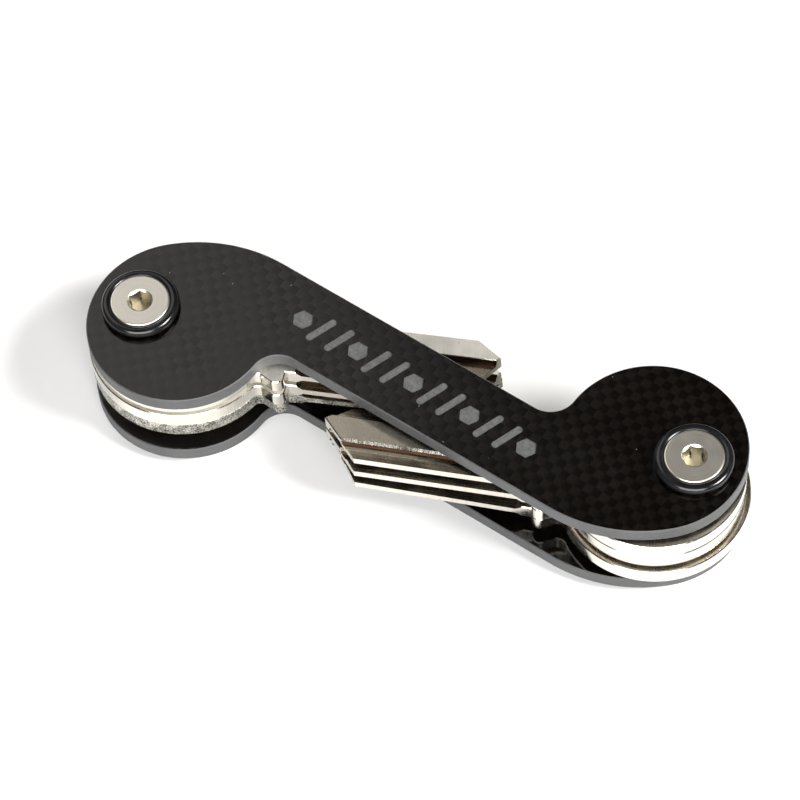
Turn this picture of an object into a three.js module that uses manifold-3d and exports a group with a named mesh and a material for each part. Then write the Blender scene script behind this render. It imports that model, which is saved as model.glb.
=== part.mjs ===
// Pocket key organiser: two S-shaped carbon plates, a barrel screw at each end, and three keys swinging on each.
// Millimetres, +Z up. X runs from the left screw to the right screw, and the origin is the middle of the
// footprint, on the plane that the two barrel nut heads rest on.
// A half turn about Z swaps the two lobes; the keys and washers stacked at the two ends differ.

import * as THREE from 'three';
import { mergeVertices } from 'three/addons/utils/BufferGeometryUtils.js';
import Module from 'manifold-3d';

const wasm = await Module();
wasm.setup();

// Driving dimensions
const screwOffset = 38.8; // from the middle to each screw axis
const plateThickness = 2.3;
const plateGap = 10.5; // between the inner faces of the plates
const headRadius = 4;
const headHeight = 1.6; // how far a head stands off its plate
const barrelRadius = 2.5;
const shankRadius = 1.6;
const workingGap = 0.3; // radial clearance of everything that turns or is screwed
const faceGap = 0.05; // between faces stacked on a barrel
const keyThickness = 2.4;
const roundSides = 36; // facets on every turned piece
const arcStep = 0.19; // radians between the corners of an outline's arcs

// The S outline: a lobe at each end, joined by a straight waist
const lobeRadius = 12.55;
const lobeCentre = new THREE.Vector2(-33.05, -0.5); // the left one
const waistAngle = -0.27; // radians, the flanks of the waist against X
const waistHalfWidth = 5.8;
const blendRadius = 21.4; // from a lobe into the outer flank
const notchRadius = 3.7; // from the inner flank into the other lobe

// Heights, from the resting plane up
const bottomPlateBase = headHeight;
const gapFloor = bottomPlateBase + plateThickness;
const gapRoof = gapFloor + plateGap;
const topPlateTop = gapRoof + plateThickness;

// Screw head and rubber ring, as radii and as depths below the top of the head
const headRim = { height: 0.45, chamfer: 0.12 };
const coneFoot = { radius: 2.75, depth: 1.4 };
const ring = {
  heel: 3.85, // where it rests on the plate
  outer: 5.3,
  bellyDepth: 0.9,
  shoulderDepth: 0.13,
  crest: 4.65,
  crestDepth: 0.08,
  lip: 0.17, // beyond the head's rim
  gap: 0.12, // clear of the head
};
const hexAcrossFlats = 2.9;
const socketDepth = 2.4;
const socketMouth = { radius: 1.75, footRadius: 1.4, depth: 0.3 }; // small countersink around the hexagon
const shankLength = 11;

// Key, in its own frame: the screw at the origin, the blade along +X, its wide side towards -Y
const bowCentreX = 5.2; // the bow's radius differs from key to key
const blade = { narrow: 2.75, root: 20.5 }; // how wide the other side is differs from key to key
const tip = { y: 0.4, wideBack: 4.9, narrowBack: 3.3 }; // how far the two slanted ends run back
const neckWidth = 6.5;
const neckFillet = 1.2;
const neckEnd = 17.2;
const stopRadius = 1.15; // rounded stop at the root of the blade
const stopReach = 7.6; // from the screw's line to the far side of the stop
const backFillet = 3;
const grooveStart = 21.6;

// What sits on each screw, from the top plate down
const thinWasher = 0.5;
const middleWasher = 0.65;
const washerRadius = 4.6;

const finishes = {
  carbon: { color: 0x1b1917, roughness: 0.42, metalness: 0.1 },
  steel: { color: 0xc9c4b8, roughness: 0.3, metalness: 1 },
  nickelSilver: { color: 0xd6cdbb, roughness: 0.25, metalness: 1 },
  rubber: { color: 0x0b0b0c, roughness: 0.3, metalness: 0 },
  washerSteel: { color: 0xa7a49d, roughness: 0.4, metalness: 1 },
};

const organiser = new THREE.Group();

function place(name, geometry, finish, parent = organiser) {
  const mesh = new THREE.Mesh(geometry, new THREE.MeshStandardMaterial(finishes[finish]));
  mesh.name = name;
  parent.add(mesh);
  return mesh;
}

// Solids for joining and cutting
function solidOf(geometry) {
  const bare = geometry.clone();
  bare.deleteAttribute('normal');
  bare.deleteAttribute('uv');
  const merged = mergeVertices(bare, 1e-4);
  const triVerts = new Uint32Array(merged.index.array);
  const vertProperties = new Float32Array(merged.attributes.position.array);
  return new wasm.Manifold(new wasm.Mesh({ numProp: 3, vertProperties, triVerts }));
}

function geometryOf(solid) {
  const { vertProperties, triVerts } = solid.getMesh();
  const geometry = new THREE.BufferGeometry();
  geometry.setAttribute('position', new THREE.BufferAttribute(vertProperties, 3));
  geometry.setIndex(new THREE.BufferAttribute(triVerts, 1));
  geometry.computeVertexNormals();
  return geometry;
}

// A solid of revolution about Z from a closed loop of [radius, height] points, counter-clockwise
function turned(points) {
  const loop = [...points, points[0]].map(([r, z]) => new THREE.Vector2(r, z));
  return new THREE.LatheGeometry(loop, roundSides).rotateX(Math.PI / 2);
}

function extruded(shape, depth) {
  return new THREE.ExtrudeGeometry(shape, { depth, bevelEnabled: false });
}

// The corners of an arc about a centre, both ends included; to below from runs clockwise
function arc(centre, radius, from, to, step = arcStep) {
  const count = Math.ceil(Math.abs(to - from) / step);
  const corner = (_, i) => {
    const angle = from + ((to - from) * i) / count;
    return new THREE.Vector2(centre.x + radius * Math.cos(angle), centre.y + radius * Math.sin(angle));
  };
  return Array.from({ length: count + 1 }, corner);
}

function directionTo(from, to) {
  return Math.atan2(to.y - from.y, to.x - from.x);
}

function screwHole(x, y) {
  const corners = arc({ x, y }, barrelRadius + workingGap, 0, 2 * Math.PI, (2 * Math.PI) / roundSides);
  return new THREE.Path(corners.slice(0, -1));
}

function plateShape() {
  const along = new THREE.Vector2(Math.cos(waistAngle), Math.sin(waistAngle));
  const across = new THREE.Vector2(-along.y, along.x);
  const at = (s, t) => along.clone().multiplyScalar(s).addScaledVector(across, t);
  const otherLobe = lobeCentre.clone().negate();

  // Centre of the blend arc, inside the flank and touching the lobe from outside
  const blendT = waistHalfWidth - blendRadius;
  const blendRise = lobeCentre.dot(across) - blendT;
  const blendRun = Math.sqrt((blendRadius - lobeRadius) ** 2 - blendRise ** 2);
  const blendCentre = at(lobeCentre.dot(along) + blendRun, blendT);

  // Centre of the notch arc, outside the flank and outside the other lobe
  const notchT = waistHalfWidth + notchRadius;
  const notchRise = otherLobe.dot(across) - notchT;
  const notchRun = Math.sqrt((lobeRadius + notchRadius) ** 2 - notchRise ** 2);
  const notchCentre = at(otherLobe.dot(along) - notchRun, notchT);

  const flank = waistAngle + Math.PI / 2;
  const outward = directionTo(blendCentre, lobeCentre);
  const intoLobe = directionTo(otherLobe, notchCentre);
  const half = [
    ...arc(blendCentre, blendRadius, outward, flank),
    ...arc(notchCentre, notchRadius, flank - Math.PI, intoLobe - Math.PI),
    ...arc(otherLobe, lobeRadius, intoLobe, outward - Math.PI).slice(1, -1),
  ];
  const otherHalf = half.map((p) => p.clone().negate());
  const shape = new THREE.Shape([...half, ...otherHalf]);
  shape.holes = [screwHole(-screwOffset, 0), screwHole(screwOffset, 0)];
  return shape;
}

// Screw with a flat countersunk head and a hexagon socket, its head top at height 0
function screwGeometry(socketTurn) {
  const { height, chamfer } = headRim;
  const body = turned([
    [0, -coneFoot.depth - shankLength],
    [shankRadius, -coneFoot.depth - shankLength],
    [shankRadius, -coneFoot.depth],
    [coneFoot.radius, -coneFoot.depth],
    [headRadius, -height],
    [headRadius, -chamfer],
    [headRadius - chamfer, 0],
    [0, 0],
  ]);
  const corner = hexAcrossFlats / Math.sqrt(3);
  const socket = new THREE.CylinderGeometry(corner, corner, socketDepth * 2, 6).rotateX(Math.PI / 2);
  socket.rotateZ(socketTurn);
  const rise = 0.1; // how far the cutter carries on above the head
  const flare = (rise * (socketMouth.radius - socketMouth.footRadius)) / socketMouth.depth;
  const mouth = turned([
    [0, -socketMouth.depth],
    [socketMouth.footRadius, -socketMouth.depth],
    [socketMouth.radius + flare, rise],
    [0, rise],
  ]);
  return geometryOf(solidOf(body).subtract(solidOf(socket)).subtract(solidOf(mouth)));
}

// Barrel nut: a flanged head like the screw's, its flat at height 0, and a bored barrel standing on it
function nutGeometry() {
  const { height, chamfer } = headRim;
  const top = topPlateTop - workingGap;
  const bore = shankRadius + workingGap;
  return turned([
    [0, 0],
    [headRadius - chamfer, 0],
    [headRadius, chamfer],
    [headRadius, height],
    [coneFoot.radius, coneFoot.depth],
    [barrelRadius, coneFoot.depth],
    [barrelRadius, top],
    [bore, top],
    [bore, coneFoot.depth],
    [0, coneFoot.depth],
  ]);
}

// Rubber ring squeezed between a head and a plate, the head's top at height 0
function ringGeometry() {
  const { heel, outer, bellyDepth, shoulderDepth, crest, crestDepth, lip, gap } = ring;
  const foot = -headHeight + faceGap;
  const section = new THREE.Path();
  section.moveTo(coneFoot.radius + 2 * gap, -coneFoot.depth);
  section.quadraticCurveTo(coneFoot.radius + 3 * gap, foot, heel, foot);
  section.quadraticCurveTo(outer, foot, outer, -bellyDepth);
  section.quadraticCurveTo(outer, -shoulderDepth, crest, -crestDepth);
  section.quadraticCurveTo(headRadius + lip, -crestDepth, headRadius + gap, -headRim.height);
  return turned(section.getPoints(3).map((p) => [p.x, p.y]));
}

function washerGeometry(thickness) {
  const inner = barrelRadius + workingGap;
  return turned([
    [inner, 0],
    [washerRadius, 0],
    [washerRadius, thickness],
    [inner, thickness],
  ]);
}

function keyShape(reach, wide, bow) {
  const bowCentre = new THREE.Vector2(bowCentreX, 0);
  const back = new THREE.Vector2(0, blade.narrow + backFillet);
  back.x = bowCentreX + Math.sqrt((bow + backFillet) ** 2 - back.y ** 2);
  const front = new THREE.Vector2(0, -neckWidth - neckFillet);
  front.x = bowCentreX + Math.sqrt((bow + neckFillet) ** 2 - front.y ** 2);
  const stop = new THREE.Vector2(blade.root - stopRadius, stopRadius - stopReach);

  const corners = [
    new THREE.Vector2(reach, tip.y),
    new THREE.Vector2(reach - tip.narrowBack, blade.narrow),
    ...arc(back, backFillet, -Math.PI / 2, directionTo(back, bowCentre), 3 * arcStep),
    ...arc(bowCentre, bow, directionTo(bowCentre, back), directionTo(bowCentre, front) + 2 * Math.PI).slice(1),
    ...arc(front, neckFillet, directionTo(front, bowCentre), Math.PI / 2, 3 * arcStep).slice(1),
    new THREE.Vector2(neckEnd, -neckWidth),
    ...arc(stop, stopRadius, (-3 * Math.PI) / 4, 0, 3 * arcStep),
    new THREE.Vector2(blade.root, -wide),
    new THREE.Vector2(reach - tip.wideBack, -wide),
  ];
  const shape = new THREE.Shape(corners);
  shape.holes = [screwHole(0, 0)];
  return shape;
}

// A groove milled along the blade and out through its tip, from its cross-section in [y, z]
function groove(points, reach) {
  const section = new THREE.Shape(points.map(([y, z]) => new THREE.Vector2(y, z)));
  const cutter = extruded(section, reach - grooveStart + 2);
  cutter.applyMatrix4(new THREE.Matrix4().set(0, 0, 1, grooveStart, 1, 0, 0, 0, 0, 1, 0, 0, 0, 0, 0, 1));
  return solidOf(cutter);
}

function keyGeometry(reach, wide, bow) {
  const over = keyThickness + 1;
  const beyond = 7; // past the widest blade
  const grooves = [
    [[0.1, over], [-beyond, over], [-beyond, 1.75], [-2.9, 1.65], [-2.4, 1.1], [-0.4, 1.1]],
    [[-2.6, -1], [-2.75, 0.85], [-3.6, 0.85], [-3.8, 0.4], [-beyond, 0.85], [-beyond, -1]],
    [[0.9, -1], [beyond, -1], [beyond, 0.7], [1.05, 0.8]],
  ];
  let solid = solidOf(extruded(keyShape(reach, wide, bow), keyThickness));
  for (const section of grooves) solid = solid.subtract(groove(section, reach));
  return geometryOf(solid);
}

// Plates
const plate = extruded(plateShape(), plateThickness);
place('top_plate', plate, 'carbon').position.z = gapRoof;
place('bottom_plate', plate, 'carbon').position.z = bottomPlateBase;

// Each end: a group at its screw, turned so that its stored blades point at the other end
const ends = [
  {
    name: 'left',
    x: -screwOffset,
    turn: 0,
    turns: [10.2, 9.8, 10.5], // degrees from the line of the screws to each stored blade, upper to lower
    reach: 48.7, // from the screw to the tip
    wides: [5.75, 5.75, 5.75], // from the screw's line to the wide side of each blade, upper to lower
    bows: [12.7, 12.8, 12.8], // radius of each key's round end, upper to lower
    turnedOver: false,
    spacedAfter: 1, // the key above the middle washer
    socket: 0.9, // radians
  },
  {
    name: 'right',
    x: screwOffset,
    turn: Math.PI,
    turns: [8.6, 8.7, 7.4],
    reach: 49.4,
    wides: [4.9, 5.3, 6.1],
    bows: [12.1, 12.1, 12.8],
    turnedOver: true,
    spacedAfter: 2,
    socket: 0.1,
  },
];

for (const { name, x, turn, turns, reach, wides, bows, turnedOver, spacedAfter, socket } of ends) {
  const end = new THREE.Group();
  end.position.x = x;
  organiser.add(end);

  place(`${name}_screw`, screwGeometry(socket), 'steel', end).position.z = topPlateTop + headHeight;
  place(`${name}_barrel_nut`, nutGeometry(), 'steel', end);
  place(`${name}_top_ring`, ringGeometry(), 'rubber', end).position.z = topPlateTop + headHeight;
  place(`${name}_bottom_ring`, ringGeometry(), 'rubber', end).rotation.x = Math.PI;

  let top = gapRoof - faceGap;
  const stack = (pieceName, geometry, finish, thickness) => {
    const piece = place(pieceName, geometry, finish, end);
    piece.position.z = top - thickness;
    top -= thickness + faceGap;
    return piece;
  };

  stack(`${name}_upper_washer`, washerGeometry(thinWasher), 'washerSteel', thinWasher);
  ['upper', 'middle', 'lower'].forEach((level, index) => {
    const key = keyGeometry(reach, wides[index], bows[index]);
    const piece = stack(`${name}_${level}_key`, key, 'nickelSilver', keyThickness);
    piece.rotation.order = 'ZYX';
    piece.rotation.z = turn + THREE.MathUtils.degToRad(turns[index]);
    if (turnedOver) {
      piece.rotation.x = Math.PI;
      piece.position.z += keyThickness;
    }
    if (index + 1 === spacedAfter) {
      stack(`${name}_middle_washer`, washerGeometry(middleWasher), 'washerSteel', middleWasher);
    }
  });

  const filler = (top - gapFloor - 2 * faceGap) / 2;
  for (const level of ['lower', 'bottom']) {
    stack(`${name}_${level}_washer`, washerGeometry(filler), 'washerSteel', filler);
  }
}

export default organiser;
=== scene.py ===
import math

import bmesh
import bpy
from mathutils import Matrix, Vector
from mathutils.geometry import tessellate_polygon


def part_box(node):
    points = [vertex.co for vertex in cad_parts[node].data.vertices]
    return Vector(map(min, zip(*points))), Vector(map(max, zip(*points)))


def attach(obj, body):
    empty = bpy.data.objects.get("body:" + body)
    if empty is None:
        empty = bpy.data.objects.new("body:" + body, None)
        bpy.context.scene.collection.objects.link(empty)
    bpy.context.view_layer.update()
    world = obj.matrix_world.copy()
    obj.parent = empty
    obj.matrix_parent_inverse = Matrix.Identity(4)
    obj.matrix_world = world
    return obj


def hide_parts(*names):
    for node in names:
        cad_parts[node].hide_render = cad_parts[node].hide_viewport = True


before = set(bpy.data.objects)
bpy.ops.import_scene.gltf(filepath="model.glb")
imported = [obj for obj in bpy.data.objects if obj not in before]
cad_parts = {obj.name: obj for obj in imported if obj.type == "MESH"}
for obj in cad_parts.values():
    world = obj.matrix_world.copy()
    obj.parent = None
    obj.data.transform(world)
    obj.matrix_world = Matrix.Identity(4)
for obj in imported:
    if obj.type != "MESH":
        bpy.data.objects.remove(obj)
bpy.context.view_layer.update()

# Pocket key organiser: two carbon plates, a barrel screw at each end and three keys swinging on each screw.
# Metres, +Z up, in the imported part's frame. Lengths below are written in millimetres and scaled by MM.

MM = 0.001
SIDES = ("left", "right")
LEVELS = ("upper", "middle", "lower")
SHARP = math.radians(13)  # two faces that meet at more than this keep a crisp edge
ARC_STEP = 0.035  # radians between the corners of a long arc
SMALL_ARC_STEP = 0.16
ROUND_SIDES = 96
HOLE_SIDES = 64
WASHER_SIDES = 72
SAME_POINT = 1e-8  # metres between corners that are one corner
CUT_JOIN = 2e-7  # metres between corners that a cut left apart
SLIVER = 1e-7  # metres, edges shorter than this are dropped

# Sizes of the pieces: the large ones as in the part, the chamfers and roundings only drawn here
BARREL_HOLE = 2.8  # radius
BARREL_RADIUS = 2.5
HEAD_RADIUS = 4.0
HEAD_RIM = 0.45
HEAD_SOFTNESS = 0.12  # of a head's edge
CONE_FOOT = (2.75, 1.4)  # radius, and depth below the face
SHANK_RADIUS = 1.6
SHANK_LENGTH = 11.0
SHANK_POINT = 0.25  # chamfer at the shank's end
BARREL_POINT = 0.2  # chamfer at the barrel's end
RIM_BREAK = (0.05, 0.04)  # where the rim turns into the cone
BORE_CLEARANCE = 0.3
KEY_THICKNESS = 2.4
KEY_CHAMFER = 0.13
PLATE_CHAMFER = 0.14
HEX_FLATS = 2.9
SOCKET_DEPTH = 2.4
SOCKET_MOUTH = 1.75  # radius of the small cone round the hexagon
MOUTH_DEPTH = 0.36
MOUTH_RUN = 0.42  # how much narrower the mouth is at its foot
MOUTH_RISE = 0.1  # how far the mouth's cutter stands off the face
WASHER_SOFTNESS = 0.07
RING_SECTION_HEIGHT = 1.47
TOW_WIDTH = 1.25 * MM
WAIST_ANGLE = -0.27  # radians
# from the line of the screws to each stored blade in degrees, then its lengths in millimetres
KEY_TURNS = {"left": (10.2, 9.8, 10.5), "right": (8.6, 8.7, 7.4)}
KEY_REACH = {"left": 48.7, "right": 49.4}
KEY_WIDE = {"left": (5.75, 5.75, 5.75), "right": (4.9, 5.3, 6.1)}
KEY_BOW = {"left": (12.7, 12.8, 12.8), "right": (12.1, 12.1, 12.8)}
HEX_TURN = {"left": 0.9, "right": 0.1}  # radians
BLADE_ANGLE = math.radians(9.4)  # about how far the stored blades turn from the line of the screws


def centre_of(name):
    low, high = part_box(name)
    return (low + high) / 2


# ---------------------------------------------------------------- camera


def make_camera():
    azimuth, elevation, roll = math.radians(23.94), math.radians(58.62), math.radians(-5.02)
    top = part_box("top_plate")[1].z
    target = Vector((-0.812 * MM, -3.008 * MM, top))
    distance = 535.97 * MM
    back = Vector((
        math.sin(azimuth) * math.cos(elevation),
        -math.cos(azimuth) * math.cos(elevation),
        math.sin(elevation),
    ))
    level = Vector((0, 0, 1)).cross(back).normalized()
    upright = back.cross(level)
    right = level * math.cos(roll) + upright * math.sin(roll)
    up = upright * math.cos(roll) - level * math.sin(roll)
    data = bpy.data.cameras.new("camera")
    data.lens = 183.05
    data.sensor_width = 36
    data.clip_start = 0.02
    data.clip_end = 20
    camera = bpy.data.objects.new("camera", data)
    bpy.context.scene.collection.objects.link(camera)
    camera.matrix_world = Matrix((
        (right.x, up.x, back.x, 0),
        (right.y, up.y, back.y, 0),
        (right.z, up.z, back.z, 0),
        (0, 0, 0, 1),
    ))
    camera.location = target + back * distance
    bpy.context.scene.camera = camera


# ---------------------------------------------------------------- node helpers


def fill_inputs(tree, made, inputs):
    for label, value in (inputs or {}).items():
        socket = made.inputs[label]
        if isinstance(value, bpy.types.NodeSocket):
            tree.links.new(value, socket)
        else:
            socket.default_value = value


def node(tree, kind, inputs=None, **settings):
    made = tree.nodes.new(kind)
    for label, value in settings.items():
        setattr(made, label, value)
    fill_inputs(tree, made, inputs)
    return made


def calc(tree, operation, a, b=None, clamp=False):
    inputs = {0: a} if b is None else {0: a, 1: b}
    made = node(tree, "ShaderNodeMath", inputs, operation=operation, use_clamp=clamp)
    return made.outputs[0]


def spread(tree, value, low, high, to_low=0.0, to_high=1.0):
    made = node(
        tree,
        "ShaderNodeMapRange",
        {"Value": value, "From Min": low, "From Max": high, "To Min": to_low, "To Max": to_high},
    )
    return made.outputs["Result"]


def blend(tree, factor, first, second):
    made = node(tree, "ShaderNodeMix", data_type="RGBA")
    for index, value in ((0, factor), (6, first), (7, second)):
        if isinstance(value, bpy.types.NodeSocket):
            tree.links.new(value, made.inputs[index])
        else:
            made.inputs[index].default_value = value
    return made.outputs[2]


def distance_from_axis(tree, x, y):
    squares = calc(tree, "ADD", calc(tree, "POWER", x, 2.0), calc(tree, "POWER", y, 2.0))
    return calc(tree, "SQRT", squares)


def new_group(name, kind, inputs, outputs):
    tree = bpy.data.node_groups.new(name, kind)
    for label, socket_type, value in inputs:
        socket = tree.interface.new_socket(label, in_out="INPUT", socket_type=socket_type)
        if value is not None:
            socket.default_value = value
    for label, socket_type in outputs:
        tree.interface.new_socket(label, in_out="OUTPUT", socket_type=socket_type)
    return tree, tree.nodes.new("NodeGroupInput"), tree.nodes.new("NodeGroupOutput")


VECTOR, FLOAT = "NodeSocketVector", "NodeSocketFloat"


def weave_group():
    """Square check of woven tows.

    Check is 0 or 1 by the tow's direction, Height its bulge and Fibre its fine strands.
    """
    tree, start, end = new_group(
        "woven_tows",
        "ShaderNodeTree",
        [("Vector", VECTOR, None), ("Tow Width", FLOAT, TOW_WIDTH)],
        [("Check", FLOAT), ("Height", FLOAT), ("Fibre", FLOAT)],
    )
    parts = node(tree, "ShaderNodeSeparateXYZ", {"Vector": start.outputs["Vector"]})
    width = start.outputs["Tow Width"]
    u = calc(tree, "DIVIDE", parts.outputs["X"], width)
    v = calc(tree, "DIVIDE", parts.outputs["Y"], width)
    cells = calc(tree, "ADD", calc(tree, "FLOOR", u), calc(tree, "FLOOR", v))
    check = calc(tree, "FLOORED_MODULO", cells, 2.0)
    arch_u = calc(tree, "SINE", calc(tree, "MULTIPLY", calc(tree, "FRACT", u), math.pi))
    arch_v = calc(tree, "SINE", calc(tree, "MULTIPLY", calc(tree, "FRACT", v), math.pi))
    height = calc(tree, "MULTIPLY", calc(tree, "POWER", arch_u, 0.5), calc(tree, "POWER", arch_v, 0.5))

    def strands(along, across):
        place = node(
            tree,
            "ShaderNodeCombineXYZ",
            {"X": calc(tree, "MULTIPLY", along, 0.9), "Y": calc(tree, "MULTIPLY", across, 14.0)},
        )
        noise = node(
            tree,
            "ShaderNodeTexNoise",
            {"Vector": place.outputs[0], "Scale": 1.0, "Detail": 2.0, "Roughness": 0.6},
        )
        return noise.outputs["Fac"]

    fibre = node(
        tree,
        "ShaderNodeMix",
        {"Factor": check, "A": strands(u, v), "B": strands(v, u)},
        data_type="FLOAT",
    )
    tree.links.new(check, end.inputs["Check"])
    tree.links.new(height, end.inputs["Height"])
    tree.links.new(fibre.outputs[0], end.inputs["Fibre"])
    return tree


def brushing_group():
    """Fine straight scratches across the vector's X, in lengths and widths of metres."""
    tree, start, end = new_group(
        "brushing",
        "ShaderNodeTree",
        [("Vector", VECTOR, None), ("Line Width", FLOAT, 0.0001), ("Line Length", FLOAT, 0.004)],
        [("Lines", FLOAT), ("Patches", FLOAT)],
    )
    parts = node(tree, "ShaderNodeSeparateXYZ", {"Vector": start.outputs["Vector"]})
    place = node(
        tree,
        "ShaderNodeCombineXYZ",
        {
            "X": calc(tree, "DIVIDE", parts.outputs["X"], start.outputs["Line Width"]),
            "Y": calc(tree, "DIVIDE", parts.outputs["Y"], start.outputs["Line Length"]),
            "Z": calc(tree, "DIVIDE", parts.outputs["Z"], start.outputs["Line Length"]),
        },
    )
    fine = node(
        tree,
        "ShaderNodeTexNoise",
        {"Vector": place.outputs[0], "Scale": 1.0, "Detail": 3.0, "Roughness": 0.65},
    )
    broad = node(
        tree,
        "ShaderNodeTexNoise",
        {"Vector": start.outputs["Vector"], "Scale": 420.0, "Detail": 3.0, "Roughness": 0.5},
    )
    tree.links.new(fine.outputs["Fac"], end.inputs["Lines"])
    tree.links.new(broad.outputs["Fac"], end.inputs["Patches"])
    return tree


def specks_group():
    """Sparse small spots, such as dust or pits: Mask is 1 on a spot."""
    tree, start, end = new_group(
        "specks",
        "ShaderNodeTree",
        [("Vector", VECTOR, None), ("Spacing", FLOAT, 0.002), ("Size", FLOAT, 0.05), ("Share", FLOAT, 0.5)],
        [("Mask", FLOAT)],
    )
    scale = calc(tree, "DIVIDE", 1.0, start.outputs["Spacing"])
    cells = node(
        tree,
        "ShaderNodeTexVoronoi",
        {"Vector": start.outputs["Vector"], "Scale": scale, "Randomness": 1.0},
        feature="F1",
    )
    spot = calc(tree, "LESS_THAN", cells.outputs["Distance"], start.outputs["Size"])
    tone = node(tree, "ShaderNodeSeparateColor", {"Color": cells.outputs["Color"]})
    chosen = calc(tree, "LESS_THAN", tone.outputs[0], start.outputs["Share"])
    tree.links.new(calc(tree, "MULTIPLY", spot, chosen), end.inputs["Mask"])
    return tree


# ---------------------------------------------------------------- materials


def start_material(name, metallic, colour, roughness, turn=0.0):
    """A material, its tree, its shader and its coordinates; patterns are then linked over the values."""
    material = bpy.data.materials.new(name)
    material.use_nodes = True
    tree = material.node_tree
    shader = tree.nodes["Principled BSDF"]
    shader.inputs["Metallic"].default_value = metallic
    shader.inputs["Base Color"].default_value = (*colour, 1)
    shader.inputs["Roughness"].default_value = roughness
    place = node(tree, "ShaderNodeTexCoord")
    mapping = node(tree, "ShaderNodeMapping", {"Vector": place.outputs["Object"]})
    mapping.inputs["Rotation"].default_value = (0, 0, -turn)
    return material, tree, shader, mapping.outputs["Vector"]


def use_group(tree, group, inputs):
    made = node(tree, "ShaderNodeGroup", node_tree=group)
    fill_inputs(tree, made, inputs)
    return made.outputs


def add_bump(tree, shader, height, distance):
    bump = node(tree, "ShaderNodeBump", {"Height": height, "Distance": distance})
    tree.links.new(bump.outputs["Normal"], shader.inputs["Normal"])


def carbon_material(name, groups, roughness, light, dark, relief_depth, coat):
    """Woven carbon under resin; coat is the weight of the resin over the dark and over the light tows."""
    material, tree, shader, place = start_material(name, 0.0, dark, roughness, WAIST_ANGLE)
    shader.inputs["Coat Roughness"].default_value = 0.1
    shader.inputs["Coat IOR"].default_value = 1.8
    weave = use_group(tree, groups["weave"], {"Vector": place, "Tow Width": TOW_WIDTH})
    check, fibre = weave["Check"], weave["Fibre"]
    dust = use_group(
        tree, groups["specks"], {"Vector": place, "Spacing": 0.0021, "Size": 0.045, "Share": 0.35}
    )["Mask"]
    cloudy = node(tree, "ShaderNodeTexNoise", {"Vector": place, "Scale": 160.0, "Detail": 4.0}).outputs["Fac"]

    patchy = spread(tree, cloudy, 0.35, 0.65, 0.5, 1.0)
    shade = calc(tree, "MULTIPLY", check, spread(tree, fibre, 0.25, 0.75, 0.35, 1.0), clamp=True)
    shade = calc(tree, "MULTIPLY", shade, patchy, clamp=True)
    tree.links.new(spread(tree, shade, 0.0, 1.0, *coat), shader.inputs["Coat Weight"])
    # the light tows' brown colour is painted sheen on the real weave: the fibres are one black and catch the
    # light by direction
    cloth = blend(tree, shade, (*dark, 1), (*light, 1))
    tree.links.new(blend(tree, dust, cloth, (0.10, 0.095, 0.09, 1)), shader.inputs["Base Color"])

    gloss = calc(tree, "ADD", calc(tree, "MULTIPLY", check, 0.03), roughness - 0.04)
    gloss = calc(tree, "ADD", gloss, spread(tree, cloudy, 0.3, 0.7, 0.0, 0.05))
    gloss = calc(tree, "ADD", gloss, calc(tree, "MULTIPLY", dust, 0.3))
    tree.links.new(gloss, shader.inputs["Roughness"])
    bulge = calc(tree, "MULTIPLY", weave["Height"], 0.9)
    add_bump(tree, shader, calc(tree, "ADD", bulge, calc(tree, "MULTIPLY", fibre, 0.12)), relief_depth)
    return material


def cut_carbon_material():
    """The sawn edge of a plate: pale grey, with the layers of cloth just showing."""
    material, tree, shader, place = start_material("carbon_cut_edge", 0.0, (0.085, 0.087, 0.088), 0.5)
    parts = node(tree, "ShaderNodeSeparateXYZ", {"Vector": place})
    layers = calc(tree, "SINE", calc(tree, "MULTIPLY", parts.outputs["Z"], 2 * math.pi / 0.00028))
    grain = node(
        tree, "ShaderNodeTexNoise", {"Vector": place, "Scale": 2600.0, "Detail": 3.0, "Roughness": 0.7}
    ).outputs["Fac"]
    mottle = node(tree, "ShaderNodeTexNoise", {"Vector": place, "Scale": 210.0, "Detail": 3.0})
    tone = calc(tree, "ADD", calc(tree, "MULTIPLY", layers, 0.10), grain)
    tone = calc(tree, "ADD", tone, calc(tree, "MULTIPLY", mottle.outputs["Fac"], 0.5))
    colour = blend(tree, spread(tree, tone, 0.45, 1.05), (0.03, 0.031, 0.033, 1), (0.085, 0.087, 0.086, 1))
    tree.links.new(colour, shader.inputs["Base Color"])
    tree.links.new(spread(tree, grain, 0.3, 0.7, 0.42, 0.6), shader.inputs["Roughness"])
    add_bump(tree, shader, grain, 0.00002)
    return material


def engraving_material(groups):
    """The laser-burnt floor of the engraved row, ash grey."""
    material, tree, shader, place = start_material("engraved_floor", 0.0, (0.15, 0.155, 0.155), 0.8)
    grain = node(
        tree, "ShaderNodeTexNoise", {"Vector": place, "Scale": 2200.0, "Detail": 3.0, "Roughness": 0.7}
    ).outputs["Fac"]
    weave = use_group(tree, groups["weave"], {"Vector": place, "Tow Width": TOW_WIDTH})
    tone = calc(tree, "ADD", grain, calc(tree, "MULTIPLY", weave["Check"], 0.08))
    colour = blend(tree, spread(tree, tone, 0.3, 0.8), (0.05, 0.052, 0.051, 1), (0.115, 0.118, 0.114, 1))
    tree.links.new(colour, shader.inputs["Base Color"])
    add_bump(tree, shader, grain, 0.00003)
    return material


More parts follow.
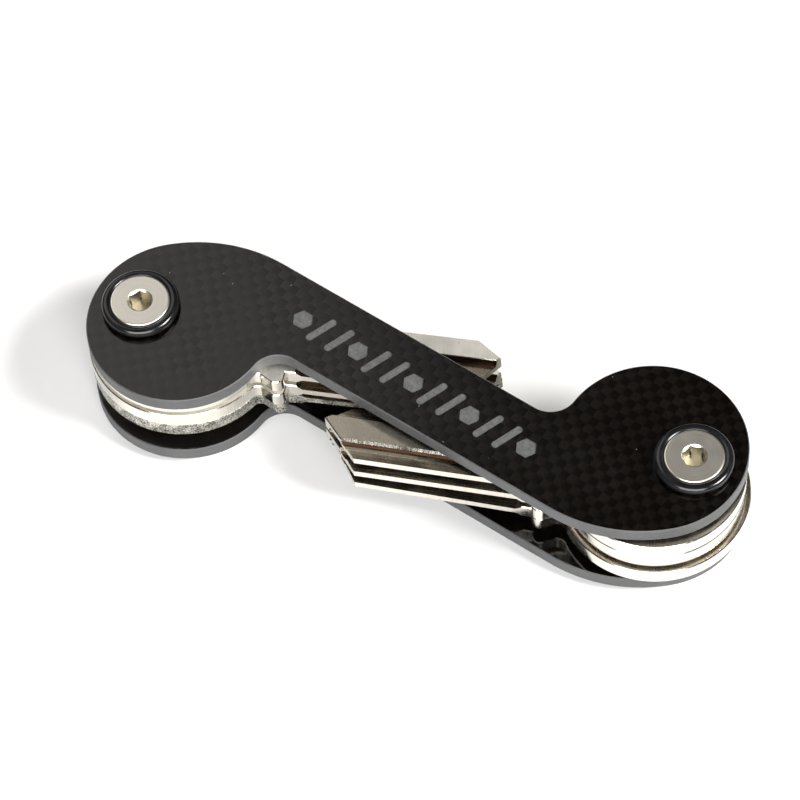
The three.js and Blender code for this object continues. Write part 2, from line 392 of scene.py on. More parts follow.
def brushed_metal(name, groups, colour, dull, roughness, line_depth, turn=0.0, streaks=1.0):
    """Metal with fine lines and a few pits; streaks is how far the lines vary the roughness."""
    material, tree, shader, place = start_material(name, 1.0, colour, roughness, turn)
    marks = use_group(
        tree, groups["brushing"], {"Vector": place, "Line Width": 0.00011, "Line Length": 0.006}
    )
    pits = use_group(tree, groups["specks"], {"Vector": place, "Spacing": 0.0012, "Size": 0.06, "Share": 0.3})
    tone = blend(tree, spread(tree, marks["Lines"], 0.3, 0.7), (*dull, 1), (*colour, 1))
    pitted = blend(tree, pits["Mask"], tone, (*[c * 0.45 for c in dull], 1))
    tree.links.new(pitted, shader.inputs["Base Color"])
    gloss = spread(tree, marks["Lines"], 0.3, 0.75, roughness - 0.05 * streaks, roughness + 0.08 * streaks)
    gloss = calc(tree, "ADD", gloss, spread(tree, marks["Patches"], 0.35, 0.7, -0.03, 0.06), clamp=True)
    tree.links.new(gloss, shader.inputs["Roughness"])
    add_bump(tree, shader, marks["Lines"], line_depth)
    return material


def rough_rim_material():
    """A key's rim left as punched: bright specks on a torn dark ground."""
    material, tree, shader, place = start_material("key_punched_rim", 1.0, (0.62, 0.59, 0.5), 0.4)
    grain = node(
        tree, "ShaderNodeTexNoise", {"Vector": place, "Scale": 5200.0, "Detail": 3.0, "Roughness": 0.75}
    ).outputs["Fac"]
    broad = node(tree, "ShaderNodeTexNoise", {"Vector": place, "Scale": 700.0, "Detail": 2.0})
    tone = calc(tree, "ADD", grain, calc(tree, "MULTIPLY", broad.outputs["Fac"], 0.35))
    colour = blend(tree, spread(tree, tone, 0.58, 0.82), (0.03, 0.027, 0.02, 1), (0.8, 0.78, 0.7, 1))
    tree.links.new(colour, shader.inputs["Base Color"])
    tree.links.new(spread(tree, tone, 0.5, 0.85, 0.6, 0.3), shader.inputs["Roughness"])
    add_bump(tree, shader, tone, 0.00012)
    return material


def turned_steel_material(name, colour, roughness, centres):
    """Faced on a lathe: rings round whichever screw axis is nearer."""
    material, tree, shader, place = start_material(name, 1.0, colour, roughness)
    parts = node(tree, "ShaderNodeSeparateXYZ", {"Vector": place})
    side = calc(tree, "SIGN", parts.outputs["X"])
    dx = calc(tree, "SUBTRACT", parts.outputs["X"], calc(tree, "MULTIPLY", side, centres))
    radius = distance_from_axis(tree, dx, parts.outputs["Y"])
    rings = node(
        tree,
        "ShaderNodeTexNoise",
        {"W": calc(tree, "DIVIDE", radius, 0.00014), "Scale": 1.0, "Detail": 2.0},
        noise_dimensions="1D",
    )
    cloudy = node(tree, "ShaderNodeTexNoise", {"Vector": place, "Scale": 520.0, "Detail": 3.0})
    dull = tuple(c * 0.88 for c in colour)
    tone = blend(tree, spread(tree, rings.outputs["Fac"], 0.3, 0.7), (*dull, 1), (*colour, 1))
    tree.links.new(tone, shader.inputs["Base Color"])
    gloss = spread(tree, cloudy.outputs["Fac"], 0.3, 0.7, roughness - 0.015, roughness + 0.02)
    tree.links.new(gloss, shader.inputs["Roughness"])
    add_bump(tree, shader, rings.outputs["Fac"], 0.0000005)
    return material


def rubber_material():
    material, tree, shader, place = start_material("rubber", 0.0, (0.006, 0.006, 0.0065), 0.24)
    grain = node(tree, "ShaderNodeTexNoise", {"Vector": place, "Scale": 3000.0, "Detail": 2.0})
    bloom = node(tree, "ShaderNodeTexNoise", {"Vector": place, "Scale": 300.0, "Detail": 3.0}).outputs["Fac"]
    tone = spread(tree, bloom, 0.4, 0.75)
    colour = blend(tree, tone, (0.004, 0.004, 0.0045, 1), (0.013, 0.013, 0.014, 1))
    tree.links.new(colour, shader.inputs["Base Color"])
    tree.links.new(spread(tree, bloom, 0.3, 0.75, 0.13, 0.23), shader.inputs["Roughness"])
    add_bump(tree, shader, grain.outputs["Fac"], 0.000002)
    return material


def make_materials():
    groups = {"weave": weave_group(), "brushing": brushing_group(), "specks": specks_group()}
    screw_x = abs(centre_of("left_screw").x)
    along_blade = BLADE_ANGLE + math.pi / 2
    # name of each brushed metal, its bright and dull colours, roughness, line depth, turn and streaks
    brushed = {
        # the key flats are one metal: the left copy is brightened as painted light, the right copy darkened
        # as painted shade from the plate above
        "left_flat": (
            "key_brushed_flat_painted_light", (0.98, 0.95, 0.87), (0.91, 0.88, 0.80), 0.48, 0.000005, BLADE_ANGLE + 0.2, 0.6
        ),
        "right_flat": (
            "key_flat_painted_shade", (0.62, 0.565, 0.475), (0.57, 0.52, 0.43), 0.26, 0.0000006, BLADE_ANGLE, 0.2
        ),
        "key_edge": ("key_edge", (0.74, 0.70, 0.635), (0.60, 0.56, 0.49), 0.16, 0.0000015),
        # tan darker than the flats: painted shade and painted reflection on the groove floors
        "key_groove": (
            "key_milled_groove_painted_shade", (0.60, 0.52, 0.40), (0.46, 0.39, 0.29), 0.24, 0.0000015, along_blade
        ),
        # near-black brown painted shade on the groove walls
        "key_groove_wall_painted_shade": (
            "key_groove_wall_painted_shade", (0.075, 0.04, 0.024), (0.04, 0.02, 0.012), 0.3, 0.000001, along_blade
        ),
        # near-black painted shade for the grooves that lie under the next key
        "key_painted_shade": (
            "key_groove_painted_shade",
            (0.035, 0.026, 0.017),
            (0.028, 0.02, 0.013),
            0.35,
            0.0000005,
            along_blade,
            0.2,
        ),
        # darker and browner than the head's steel: painted shade inside the hexagon socket
        "socket": ("screw_socket_painted_shade", (0.50, 0.465, 0.37), (0.42, 0.385, 0.30), 0.32, 0.0000005, 0.0, 0.3),
    }
    materials = {key: brushed_metal(name, groups, *values) for key, (name, *values) in brushed.items()}
    materials["satin_carbon"] = carbon_material(
        "carbon_satin", groups, 0.2, (0.0048, 0.0032, 0.0022), (0.0008, 0.0004, 0.0002), 0.000003, (0.0, 0.14)
    )
    materials["gloss_carbon"] = carbon_material(
        "carbon_gloss", groups, 0.08, (0.003, 0.0025, 0.002), (0.0015, 0.001, 0.0008), 0.0000004, (0.38, 0.42)
    )
    materials["cut_carbon"] = cut_carbon_material()
    materials["engraving"] = engraving_material(groups)
    materials["key_rim"] = rough_rim_material()
    materials["screw_face"] = turned_steel_material("screw_faced_steel", (0.95, 0.905, 0.82), 0.35, screw_x)
    materials["washer"] = turned_steel_material("washer_steel", (0.62, 0.60, 0.56), 0.34, screw_x)
    materials["rubber"] = rubber_material()
    return materials


# ---------------------------------------------------------------- mesh helpers


def keep_edges(bm):
    """Smooth shading, broken where two faces meet at more than SHARP."""
    for face in bm.faces:
        face.smooth = True
    for edge in bm.edges:
        edge.smooth = len(edge.link_faces) == 2 and edge.calc_face_angle(0) < SHARP


def object_from(bm, name, materials):
    bmesh.ops.remove_doubles(bm, verts=bm.verts, dist=SAME_POINT)
    keep_edges(bm)
    mesh = bpy.data.meshes.new(name)
    bm.to_mesh(mesh)
    bm.free()
    for material in materials:
        mesh.materials.append(material)
    made = bpy.data.objects.new(name, mesh)
    bpy.context.scene.collection.objects.link(made)
    return made


def arc(centre, radius, start, end, step=ARC_STEP):
    count = max(1, math.ceil(abs(end - start) / step))
    angles = [start + (end - start) * i / count for i in range(count + 1)]
    return [centre + radius * Vector((math.cos(a), math.sin(a))) for a in angles]


def direction_to(a, b):
    return math.atan2(b.y - a.y, b.x - a.x)


def circle(radius, sides=ROUND_SIDES):
    return arc(Vector((0, 0)), radius, 2 * math.pi, 0, 2 * math.pi / sides)[:-1]


def inset(loop, distance):
    """The loop moved into the material, which lies to the left of its direction of travel."""
    made = []
    for i, here in enumerate(loop):
        before = (here - loop[i - 1]).normalized()
        after = (loop[(i + 1) % len(loop)] - here).normalized()
        normal = Vector((-before.y - after.y, before.x + after.x)).normalized()
        reach = max(0.4, normal.dot(Vector((-after.y, after.x))))
        made.append(here + normal * (distance / reach))
    return made


def slab(loops, low, high, edge, cap_index=0, wall_index=1):
    """A flat piece from its outer loop and hole loops, with a small chamfer along every edge."""
    bm = bmesh.new()
    levels = [(edge, low), (0, low + edge), (0, high - edge), (edge, high)]
    rings = []
    for loop in loops:
        rings.append([
            [bm.verts.new((p.x * MM, p.y * MM, z * MM)) for p in inset(loop, depth)] for depth, z in levels
        ])
    for stack in rings:
        for lower, upper in zip(stack, stack[1:]):
            for i in range(len(lower)):
                j = (i + 1) % len(lower)
                face = bm.faces.new((lower[i], lower[j], upper[j], upper[i]))
                face.material_index = wall_index
    for index, upward in ((0, False), (-1, True)):
        corners = [v for stack in rings for v in stack[index]]
        polygons = [[v.co for v in stack[index]] for stack in rings]
        for triangle in tessellate_polygon(polygons):
            a, b, c = (corners[i] for i in triangle)
            facing_up = (b.co - a.co).cross(c.co - a.co).z > 0
            face = bm.faces.new((a, b, c) if facing_up == upward else (c, b, a))
            face.material_index = cap_index
    return bm


def turned(points, sides=ROUND_SIDES):
    """A solid of revolution from a closed loop of (radius, height), counter-clockwise."""
    bm = bmesh.new()
    rings = []
    turns = [(math.cos(2 * math.pi * i / sides), math.sin(2 * math.pi * i / sides)) for i in range(sides)]
    for radius, height in points:
        if radius == 0:
            rings.append([bm.verts.new((0, 0, height * MM))] * sides)
        else:
            rings.append([bm.verts.new((radius * x * MM, radius * y * MM, height * MM)) for x, y in turns])
    for k, ring in enumerate(rings):
        following = rings[(k + 1) % len(rings)]
        for i in range(sides):
            j = (i + 1) % sides
            corners = list(dict.fromkeys((ring[i], ring[j], following[j], following[i])))
            if len(corners) > 2:
                bm.faces.new(corners)
    return bm


def prism(section, place, kinds=None):
    """A closed prism from a list of (z, loop of (x, y)) at rising z; kinds gives each side's material."""
    bm = bmesh.new()
    rings = [[bm.verts.new(place @ Vector((x, y, z))) for x, y in loop] for z, loop in section]
    for lower, upper in zip(rings, rings[1:]):
        for i in range(len(lower)):
            j = (i + 1) % len(lower)
            face = bm.faces.new((lower[i], lower[j], upper[j], upper[i]))
            face.material_index = kinds[i] if kinds else 0
    bm.faces.new(rings[0][::-1])
    bm.faces.new(rings[-1])
    bmesh.ops.recalc_face_normals(bm, faces=bm.faces)
    return bm


def keep_result(made):
    """Puts the result of an object's modifiers in its mesh, without slivers, and removes the modifiers."""
    graph = bpy.context.evaluated_depsgraph_get()
    mesh = bpy.data.meshes.new_from_object(made.evaluated_get(graph), depsgraph=graph)
    made.modifiers.clear()
    old = made.data
    made.data = mesh
    mesh.name = old.name
    bpy.data.meshes.remove(old)
    bm = bmesh.new()
    bm.from_mesh(mesh)
    bmesh.ops.remove_doubles(bm, verts=bm.verts, dist=CUT_JOIN)
    bmesh.ops.dissolve_degenerate(bm, edges=bm.edges, dist=SLIVER)
    keep_edges(bm)
    bm.to_mesh(mesh)
    bm.free()


def cut(body, cutters):
    """Takes each cutter out of the body; the cut faces keep the cutter's material."""
    for cutter in cutters:
        modifier = body.modifiers.new("cut", "BOOLEAN")
        modifier.object = cutter
        modifier.operation = "DIFFERENCE"
        modifier.solver = "EXACT"
        modifier.material_mode = "TRANSFER"
    keep_result(body)
    for cutter in cutters:
        bpy.data.objects.remove(cutter)


def finish_piece(made, name, body, matrix=None):
    if matrix is not None:
        made.data.transform(matrix)
    made.name = name + "_piece"
    made.data.name = made.name
    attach(made, body)
    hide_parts(name)


# ---------------------------------------------------------------- plates


def plate_loops():
    lobe_radius, waist, blend_radius, notch_radius = 12.55, 5.8, 21.4, 3.7
    lobe = Vector((-33.05, -0.5))
    other = -lobe
    along = Vector((math.cos(WAIST_ANGLE), math.sin(WAIST_ANGLE)))
    across = Vector((-along.y, along.x))

    blend_t = waist - blend_radius
    blend_run = math.sqrt((blend_radius - lobe_radius) ** 2 - (lobe.dot(across) - blend_t) ** 2)
    blend_centre = along * (lobe.dot(along) + blend_run) + across * blend_t
    notch_t = waist + notch_radius
    notch_run = math.sqrt((lobe_radius + notch_radius) ** 2 - (other.dot(across) - notch_t) ** 2)
    notch_centre = along * (other.dot(along) - notch_run) + across * notch_t

    flank = WAIST_ANGLE + math.pi / 2
    outward = direction_to(blend_centre, lobe)
    into_lobe = direction_to(other, notch_centre)
    half = arc(blend_centre, blend_radius, outward, flank)
    half += arc(notch_centre, notch_radius, flank - math.pi, into_lobe - math.pi, 2 * ARC_STEP)
    half += arc(other, lobe_radius, into_lobe, outward - math.pi)[1:-1]
    outline = half + [-p for p in half]
    outline.reverse()
    screw = abs(centre_of("left_screw").x) / MM
    hole = circle(BARREL_HOLE, HOLE_SIDES)
    holes = [[p + Vector((x, 0)) for p in hole] for x in (-screw, screw)]
    return [outline, *holes]


def engraving_tree():
    """Cuts a row of slanted bars and small hexagons into a plate's top face."""
    tree, start, end = new_group(
        "engraved_row",
        "GeometryNodeTree",
        [
            ("Geometry", "NodeSocketGeometry", None),
            ("Count", "NodeSocketInt", 13),
            ("Pitch", FLOAT, 0.003),
            ("Bar Length", FLOAT, 0.0048),
            ("Bar Width", FLOAT, 0.00105),
            ("Bar Slant", FLOAT, 0.35),
            ("Hexagon Radius", FLOAT, 0.0015),
            ("Row Angle", FLOAT, 0.0),
            ("Face Height", FLOAT, 0.016),
            ("Depth", FLOAT, 0.00015),
            ("Floor Material", "NodeSocketMaterial", None),
        ],
        [("Geometry", "NodeSocketGeometry")],
    )
    given = start.outputs

    def solid(curve):
        """A flat closed curve as a block twice as deep as the cut."""
        face = node(tree, "GeometryNodeFillCurve", {"Curve": curve}, mode="NGONS").outputs[0]
        height = calc(tree, "MULTIPLY", given["Depth"], 2.0)
        raised = node(tree, "GeometryNodeExtrudeMesh", {"Mesh": face, "Offset Scale": height}, mode="FACES")
        foot = node(tree, "GeometryNodeFlipFaces", {"Mesh": face}).outputs[0]
        joined = node(tree, "GeometryNodeJoinGeometry")
        tree.links.new(raised.outputs["Mesh"], joined.inputs[0])
        tree.links.new(foot, joined.inputs[0])
        merged = node(tree, "GeometryNodeMergeByDistance", {"Geometry": joined.outputs[0], "Distance": 1e-7})
        return merged.outputs[0]

    bar = node(
        tree,
        "GeometryNodeCurvePrimitiveQuadrilateral",
        {"Width": given["Bar Width"], "Height": given["Bar Length"]},
        mode="RECTANGLE",
    ).outputs[0]
    radius = calc(tree, "MULTIPLY", given["Bar Width"], 0.45)
    bar = node(
        tree, "GeometryNodeFilletCurve", {"Curve": bar, "Radius": radius, "Count": 6}, mode="POLY"
    ).outputs[0]
    hexagon = node(
        tree,
        "GeometryNodeCurvePrimitiveCircle",
        {"Resolution": 6, "Radius": given["Hexagon Radius"]},
        mode="RADIUS",
    ).outputs[0]
    small = calc(tree, "MULTIPLY", given["Hexagon Radius"], 0.15)
    hexagon = node(
        tree, "GeometryNodeFilletCurve", {"Curve": hexagon, "Radius": small, "Count": 3}, mode="POLY"
    ).outputs[0]

    span = calc(tree, "MULTIPLY", given["Pitch"], calc(tree, "SUBTRACT", given["Count"], 1.0))
    first = node(tree, "ShaderNodeCombineXYZ", {"X": calc(tree, "MULTIPLY", span, -0.5)}).outputs[0]
    step = node(tree, "ShaderNodeCombineXYZ", {"X": given["Pitch"]}).outputs[0]
    line = node(
        tree,
        "GeometryNodeMeshLine",
        {"Count": given["Count"], "Start Location": first, "Offset": step},
        mode="OFFSET",
        count_mode="TOTAL",
    ).outputs[0]
    index = node(tree, "GeometryNodeInputIndex").outputs[0]
    third = calc(tree, "MODULO", index, 3.0)
    is_hexagon = calc(tree, "COMPARE", third, 0.0)
    is_bar = calc(tree, "SUBTRACT", 1.0, is_hexagon)
    slant = calc(tree, "MULTIPLY", given["Bar Slant"], -1.0)
    slant = node(tree, "ShaderNodeCombineXYZ", {"Z": slant}).outputs[0]
    slant = node(tree, "FunctionNodeEulerToRotation", {"Euler": slant}).outputs[0]
    bars = node(
        tree,
        "GeometryNodeInstanceOnPoints",
        {"Points": line, "Selection": is_bar, "Instance": solid(bar), "Rotation": slant},
    ).outputs[0]
    hexagons = node(
        tree,
        "GeometryNodeInstanceOnPoints",
        {"Points": line, "Selection": is_hexagon, "Instance": solid(hexagon)},
    ).outputs[0]
    row = node(tree, "GeometryNodeJoinGeometry")
    tree.links.new(bars, row.inputs[0])
    tree.links.new(hexagons, row.inputs[0])
    height = calc(tree, "SUBTRACT", given["Face Height"], given["Depth"])
    shift = node(tree, "ShaderNodeCombineXYZ", {"Z": height}).outputs[0]
    turn = node(tree, "ShaderNodeCombineXYZ", {"Z": given["Row Angle"]}).outputs[0]
    turn = node(tree, "FunctionNodeEulerToRotation", {"Euler": turn}).outputs[0]
    placed = node(
        tree,
        "GeometryNodeTransform",
        {"Geometry": row.outputs[0], "Translation": shift, "Rotation": turn},
    ).outputs[0]
    real = node(tree, "GeometryNodeRealizeInstances", {"Geometry": placed}).outputs[0]
    painted = node(
        tree, "GeometryNodeSetMaterial", {"Geometry": real, "Material": given["Floor Material"]}
    ).outputs[0]
    carved = node(tree, "GeometryNodeMeshBoolean", operation="DIFFERENCE", solver="EXACT")
    tree.links.new(given["Geometry"], carved.inputs[0])
    tree.links.new(painted, carved.inputs[1])
    tree.links.new(carved.outputs[0], end.inputs[0])
    return tree


def apply_tree(made, tree, values):
    modifier = made.modifiers.new(tree.name, "NODES")
    modifier.node_group = tree
    for item in tree.interface.items_tree:
        if item.item_type == "SOCKET" and item.in_out == "INPUT" and item.name in values:
            modifier[item.identifier] = values[item.name]
    made.update_tag()
    keep_result(made)


def make_plates(materials):
    loops = plate_loops()
    for name, face in (("top_plate", "satin_carbon"), ("bottom_plate", "gloss_carbon")):
        low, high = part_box(name)
        bm = slab(loops, low.z / MM, high.z / MM, PLATE_CHAMFER)
        made = object_from(bm, name, [materials[face], materials["cut_carbon"]])
        if name == "top_plate":
            values = {
                "Row Angle": WAIST_ANGLE,
                "Face Height": high.z,
                "Floor Material": materials["engraving"],
            }
            apply_tree(made, engraving_tree(), values)
        finish_piece(made, name, "root")


# ---------------------------------------------------------------- keys


def key_loops(reach, wide, bow_radius):
    narrow, root = 2.75, 20.5
    tip_y, narrow_back, wide_back = 0.4, 3.3, 4.9
    neck, neck_fillet, neck_end, back_fillet = 6.5, 1.2, 17.2, 3.0
    stop_radius, stop_reach = 1.15, 7.6
    bow = Vector((5.2, 0))
    back = Vector((0, narrow + back_fillet))
    back.x = bow.x + math.sqrt((bow_radius + back_fillet) ** 2 - back.y**2)
    front = Vector((0, -neck - neck_fillet))
    front.x = bow.x + math.sqrt((bow_radius + neck_fillet) ** 2 - front.y**2)
    stop = Vector((root - stop_radius, stop_radius - stop_reach))
    outline = [Vector((reach, tip_y)), Vector((reach - narrow_back, narrow))]
    outline += arc(back, back_fillet, -math.pi / 2, direction_to(back, bow), SMALL_ARC_STEP)
    outline += arc(bow, bow_radius, direction_to(bow, back), direction_to(bow, front) + 2 * math.pi)[1:]
    outline += arc(front, neck_fillet, direction_to(front, bow), math.pi / 2, SMALL_ARC_STEP)[1:]
    outline += [Vector((neck_end, -neck))]
    outline += arc(stop, stop_radius, -3 * math.pi / 4, 0, SMALL_ARC_STEP)
    outline += [Vector((root, -wide)), Vector((reach - wide_back, -wide))]
    return [outline, circle(BARREL_HOLE, HOLE_SIDES)]


def groove_cutters(reach, materials):
    """Three milled grooves, each from a section of (across, up, finish of the face that starts there).

    The lips are flared and the grooves run out in a ramp at the root of the blade.
    """
    over, beyond, run_out = KEY_THICKNESS + 1, 7.0, 1.4
    sections = [
        (
            [
                (0.9, over, "under"),
                (-beyond, over, "under"),
                (-beyond, 1.75, "upper_floor"),
                (-2.9, 1.65, "upper_wall"),
                (-2.4, 1.1, "upper_floor"),
                (-0.4, 1.1, "upper_wall"),
                (-0.15, 2.3, "lip"),
            ],
            run_out,
        ),
        (
            [
                (-1.6, -1, "lip"),
                (-2.3, 0, "lip"),
                (-2.68, 0.22, "lower_wall"),
                (-2.75, 0.85, "lower_floor"),
                (-3.55, 0.85, "lower_wall"),
                (-3.72, 0.4, "lip"),
                (-3.86, 0.4, "lower_floor"),
                (-beyond, 0.85, "under"),
                (-beyond, -1, "under"),
            ],
            -run_out,
        ),
        (
            [
                (0.8, -1, "under"),
                (beyond, -1, "under"),
                (beyond, 0.7, "lower_floor"),
                (1.05, 0.8, "lower_wall"),
                (0.92, 0.08, "lip"),
            ],
            -run_out,
        ),
    ]
    start, ramp, finish = 20.9, 1.8, reach + 2
    # the section's across goes to +Y, its up to +Z and its length to +X
    place = Matrix(((0, 0, MM, 0), (MM, 0, 0, 0), (0, MM, 0, 0), (0, 0, 0, 1)))
    finishes = list(materials)
    cutters = []
    for number, (section, lift) in enumerate(sections):
        flat = [(y, z) for y, z, _ in section]
        raised = [(y, z + lift) for y, z in flat]
        kinds = [finishes.index(kind) for _, _, kind in section]
        bm = prism([(start, raised), (start + ramp, flat), (finish, flat)], place, kinds)
        cutters.append(object_from(bm, f"groove_{number}", list(materials.values())))
    return cutters


def key_pattern(reach, wide, bow, faces, grooves):
    """One key, its screw hole at the origin and its blade along +X."""
    blank = slab(key_loops(reach, wide, bow), 0, KEY_THICKNESS, KEY_CHAMFER)
    pattern = object_from(blank, "key_pattern", faces)
    cut(pattern, groove_cutters(reach, grooves))
    return pattern


def make_keys(materials):
    turned_over = Matrix.Translation((0, 0, KEY_THICKNESS * MM)) @ Matrix.Rotation(math.pi, 4, "X")
    for side in SIDES:
        screw_x = centre_of(f"{side}_screw").x
        # the right keys are turned over, so their lower grooves face up and the upper ones lie in shade,
        # painted into their colour as near-black
        shown, hidden = ("lower", "upper") if side == "right" else ("upper", "lower")
        shaded = materials["key_painted_shade" if side == "right" else "key_groove"]
        grooves = {
            "under": materials["key_painted_shade"],
            "lip": materials["key_edge"],
            f"{shown}_floor": materials["key_groove"],
            f"{shown}_wall": materials["key_groove_wall_painted_shade"],
            f"{hidden}_floor": shaded,
            f"{hidden}_wall": shaded,
        }
        for level, degrees, wide, bow in zip(LEVELS, KEY_TURNS[side], KEY_WIDE[side], KEY_BOW[side]):
            name = f"{side}_{level}_key"
            rim = materials["key_rim" if name == "left_lower_key" else "key_edge"]
            made = key_pattern(KEY_REACH[side], wide, bow, [materials[f"{side}_flat"], rim], grooves)
            turn = math.radians(degrees) + (math.pi if side == "right" else 0)
            place = Matrix.Translation((screw_x, 0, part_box(name)[0].z)) @ Matrix.Rotation(turn, 4, "Z")
            if side == "right":
                place = place @ turned_over
            finish_piece(made, name, name, place)


# ---------------------------------------------------------------- screws and what sits on them


def head_profile(sign):
    """A head's flat face and rounded edge, from the axis out to the rim; sign is the way into the head."""
    return [
        (0, 0),
        (HEAD_RADIUS - HEAD_SOFTNESS * 1.8, 0),
        (HEAD_RADIUS - HEAD_SOFTNESS * 0.9, sign * HEAD_SOFTNESS * 0.25),
        (HEAD_RADIUS - HEAD_SOFTNESS * 0.3, sign * HEAD_SOFTNESS * 0.8),
        (HEAD_RADIUS, sign * HEAD_SOFTNESS * 1.6),
        (HEAD_RADIUS, sign * HEAD_RIM),
    ]


def make_screw(side, materials):
    name = f"{side}_screw"
    cone_radius, cone_depth = CONE_FOOT
    depth = -cone_depth - SHANK_LENGTH
    points = [
        (0, depth),
        (SHANK_RADIUS - SHANK_POINT, depth),
        (SHANK_RADIUS, depth + SHANK_POINT),
        (SHANK_RADIUS, -cone_depth),
        (cone_radius, -cone_depth),
        (HEAD_RADIUS - RIM_BREAK[0], -HEAD_RIM - RIM_BREAK[1]),
        *reversed(head_profile(-1)),
    ]
    made = object_from(turned(points), name, [materials["screw_face"]])
    corner = HEX_FLATS / math.sqrt(3)
    turns = [HEX_TURN[side] + i * math.pi / 3 for i in range(6)]
    hexagon = [(corner * math.cos(a), corner * math.sin(a)) for a in turns]
    above = 1.0
    walls = prism([(-SOCKET_DEPTH, hexagon), (above, hexagon)], Matrix.Scale(MM, 4))
    walls = object_from(walls, "hex_walls", [materials["socket"]])
    mouth = turned([
        (0, -MOUTH_DEPTH),
        (SOCKET_MOUTH - MOUTH_RUN, -MOUTH_DEPTH),
        (SOCKET_MOUTH + MOUTH_RISE, MOUTH_RISE),
        (0, MOUTH_RISE),
    ])
    mouth = object_from(mouth, "hex_mouth", [materials["screw_face"]])
    cut(made, [walls, mouth])
    centre, top = centre_of(name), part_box(name)[1].z
    finish_piece(made, name, "root", Matrix.Translation((centre.x, centre.y, top)))


def make_nut(side, materials):
    name = f"{side}_barrel_nut"
    low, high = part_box(name)
    top = (high.z - low.z) / MM
    cone_radius, cone_depth = CONE_FOOT
    bore = SHANK_RADIUS + BORE_CLEARANCE
    points = [
        *head_profile(1),
        (cone_radius, cone_depth),
        (BARREL_RADIUS, cone_depth),
        (BARREL_RADIUS, top - BARREL_POINT),
        (BARREL_RADIUS - BARREL_POINT, top),
        (bore, top),
        (bore, cone_depth),
        (0, cone_depth),
    ]
    made = object_from(turned(points), name, [materials["screw_face"]])
    centre = centre_of(name)
    finish_piece(made, name, "root", Matrix.Translation((centre.x, centre.y, low.z)))


def ring_tree():
    """A round rubber section swept round a circle, flattened where the screw head squeezes it."""
    tree, start, end = new_group(
        "squeezed_ring",
        "GeometryNodeTree",
        [
            ("Geometry", "NodeSocketGeometry", None),
            ("Ring Radius", FLOAT, 0.00455),
            ("Section Width", FLOAT, 0.0015),
            ("Section Height", FLOAT, RING_SECTION_HEIGHT * MM),
            ("Rim Radius", FLOAT, 0.00405),
            ("Rim Height", FLOAT, 0.00035),
            ("Cone Slope", FLOAT, 1.316),
            ("Foot", FLOAT, -0.0007),
            ("Material", "NodeSocketMaterial", None),
        ],
        [("Geometry", "NodeSocketGeometry")],
    )
    given = start.outputs
    path = node(
        tree,
        "GeometryNodeCurvePrimitiveCircle",
        {"Resolution": 120, "Radius": given["Ring Radius"]},
        mode="RADIUS",
    ).outputs[0]
    section = node(
        tree, "GeometryNodeCurvePrimitiveCircle", {"Resolution": 40, "Radius": 0.5}, mode="RADIUS"
    ).outputs[0]
    size = node(
        tree, "ShaderNodeCombineXYZ", {"X": given["Section Height"], "Y": given["Section Width"], "Z": 1.0}
    )
    section = node(tree, "GeometryNodeTransform", {"Geometry": section, "Scale": size.outputs[0]}).outputs[0]
    swept = node(tree, "GeometryNodeCurveToMesh", {"Curve": path, "Profile Curve": section}).outputs[0]

    # every point is pushed out to clear the head's rim and cone, and up to the plate
    position = node(tree, "GeometryNodeInputPosition").outputs[0]
    spot = node(tree, "ShaderNodeSeparateXYZ", {"Vector": position}).outputs
    radius = distance_from_axis(tree, spot["X"], spot["Y"])
    under_rim = calc(tree, "MINIMUM", calc(tree, "SUBTRACT", spot["Z"], given["Rim Height"]), 0.0)
    least = calc(tree, "ADD", given["Rim Radius"], calc(tree, "MULTIPLY", under_rim, given["Cone Slope"]))
    grow = calc(tree, "DIVIDE", calc(tree, "MAXIMUM", radius, least), radius)
    moved = node(
        tree,
        "ShaderNodeCombineXYZ",
        {
            "X": calc(tree, "MULTIPLY", spot["X"], grow),
            "Y": calc(tree, "MULTIPLY", spot["Y"], grow),
            "Z": calc(tree, "MAXIMUM", spot["Z"], given["Foot"]),
        },
    ).outputs[0]
    shaped = node(tree, "GeometryNodeSetPosition", {"Geometry": swept, "Position": moved}).outputs[0]
    real = node(tree, "GeometryNodeRealizeInstances", {"Geometry": shaped}).outputs[0]
    painted = node(tree, "GeometryNodeSetMaterial", {"Geometry": real, "Material": given["Material"]})
    tree.links.new(painted.outputs[0], end.inputs[0])
    return tree


def make_ring(name, tree, materials):
    low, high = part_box(name)
    made = bpy.data.objects.new(name, bpy.data.meshes.new(name))
    bpy.context.scene.collection.objects.link(made)
    apply_tree(made, tree, {"Material": materials["rubber"]})
    bm = bmesh.new()
    bm.from_mesh(made.data)
    bmesh.ops.recalc_face_normals(bm, faces=bm.faces)
    for face in bm.faces:
        face.smooth = True
    for edge in bm.edges:
        edge.smooth = True
    bm.to_mesh(made.data)
    bm.free()
    lift = RING_SECTION_HEIGHT * MM / 2
    centre = (low + high) / 2
    if "top" in name:
        place = Matrix.Translation((centre.x, centre.y, high.z - lift))
    else:
        place = Matrix.Translation((centre.x, centre.y, low.z + lift)) @ Matrix.Rotation(math.pi, 4, "X")
    finish_piece(made, name, "root", place)


def make_washer(name, materials):
    low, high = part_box(name)
    thickness = (high.z - low.z) / MM
    outer = (high.x - low.x) / 2 / MM
    points = [
        (BARREL_HOLE, 0),
        (outer - WASHER_SOFTNESS, 0),
        (outer, WASHER_SOFTNESS),
        (outer, thickness - WASHER_SOFTNESS),
        (outer - WASHER_SOFTNESS, thickness),
        (BARREL_HOLE, thickness),
    ]
    made = object_from(turned(points, WASHER_SIDES), name, [materials["washer"]])
    centre = (low + high) / 2
    finish_piece(made, name, "root", Matrix.Translation((centre.x, centre.y, low.z)))


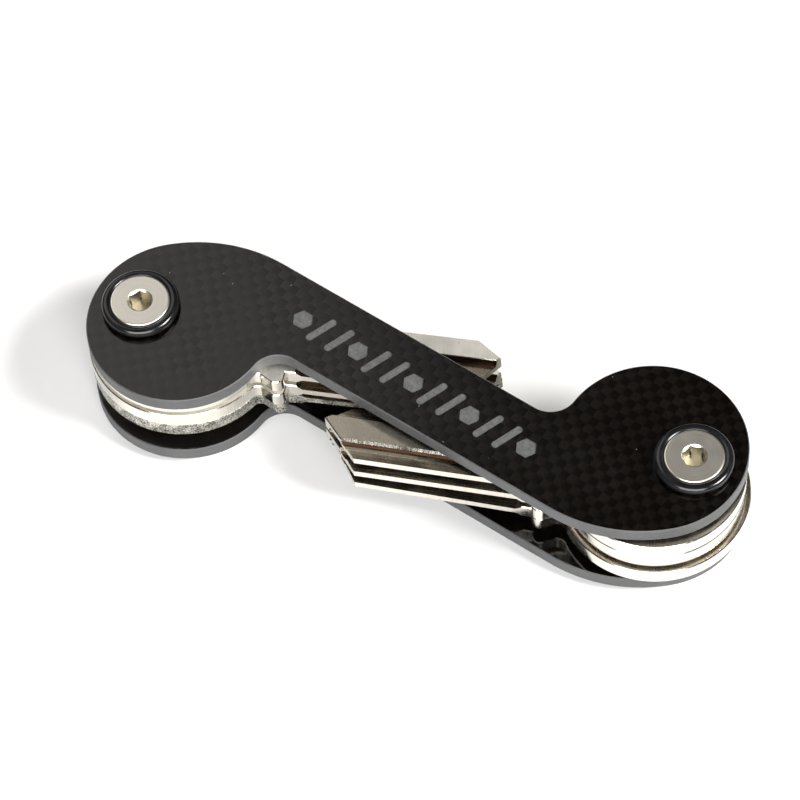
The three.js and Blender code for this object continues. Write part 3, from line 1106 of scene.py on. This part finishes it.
def make_hardware(materials):
    tree = ring_tree()
    for side in SIDES:
        make_screw(side, materials)
        make_nut(side, materials)
        for place in ("top", "bottom"):
            make_ring(f"{side}_{place}_ring", tree, materials)
        for place in ("upper", "middle", "lower", "bottom"):
            make_washer(f"{side}_{place}_washer", materials)


# ---------------------------------------------------------------- studio


def make_floor():
    bm = bmesh.new()
    half = 3.0
    corners = [bm.verts.new((x * half, y * half, 0)) for x, y in ((-1, -1), (1, -1), (1, 1), (-1, 1))]
    bm.faces.new(corners)
    material = bpy.data.materials.new("studio_floor")
    material.use_nodes = True
    shader = material.node_tree.nodes["Principled BSDF"]
    shader.inputs["Base Color"].default_value = (0.9, 0.9, 0.9, 1)
    shader.inputs["Roughness"].default_value = 0.9
    shader.inputs["Specular IOR Level"].default_value = 0.0
    object_from(bm, "floor", [material])


def area_light(name, place, aim, size, watts, colour=(1, 1, 1)):
    data = bpy.data.lights.new(name, "AREA")
    data.shape = "RECTANGLE"
    data.size, data.size_y = size
    data.energy = watts
    data.color = colour
    light = bpy.data.objects.new(name, data)
    bpy.context.scene.collection.objects.link(light)
    light.location = place
    light.rotation_mode = "QUATERNION"
    light.rotation_quaternion = (Vector(aim) - Vector(place)).to_track_quat("-Z", "Y")


def make_studio():
    make_floor()
    world = bpy.data.worlds.new("studio")
    world.use_nodes = True
    background = world.node_tree.nodes["Background"]
    background.inputs["Color"].default_value = (1.0, 0.93, 0.84, 1)
    background.inputs["Strength"].default_value = 0.035
    bpy.context.scene.world = world
    bpy.context.scene.view_settings.view_transform = "Standard"
    area_light("key_light", (0.97, 0.02, 0.95), (0, 0, 0), (0.5, 0.5), 27, (1.0, 0.99, 0.97))
    area_light("left_panel", (-0.69, 0.41, 0.8), (-0.1, 0.05, 0), (0.75, 0.8), 2.35, (1.0, 0.98, 0.94))
    area_light("front_fill", (0.25, -0.95, 0.75), (0, 0, 0), (1.2, 0.8), 22)


def main():
    make_camera()
    materials = make_materials()
    make_plates(materials)
    make_keys(materials)
    make_hardware(materials)
    make_studio()


main()
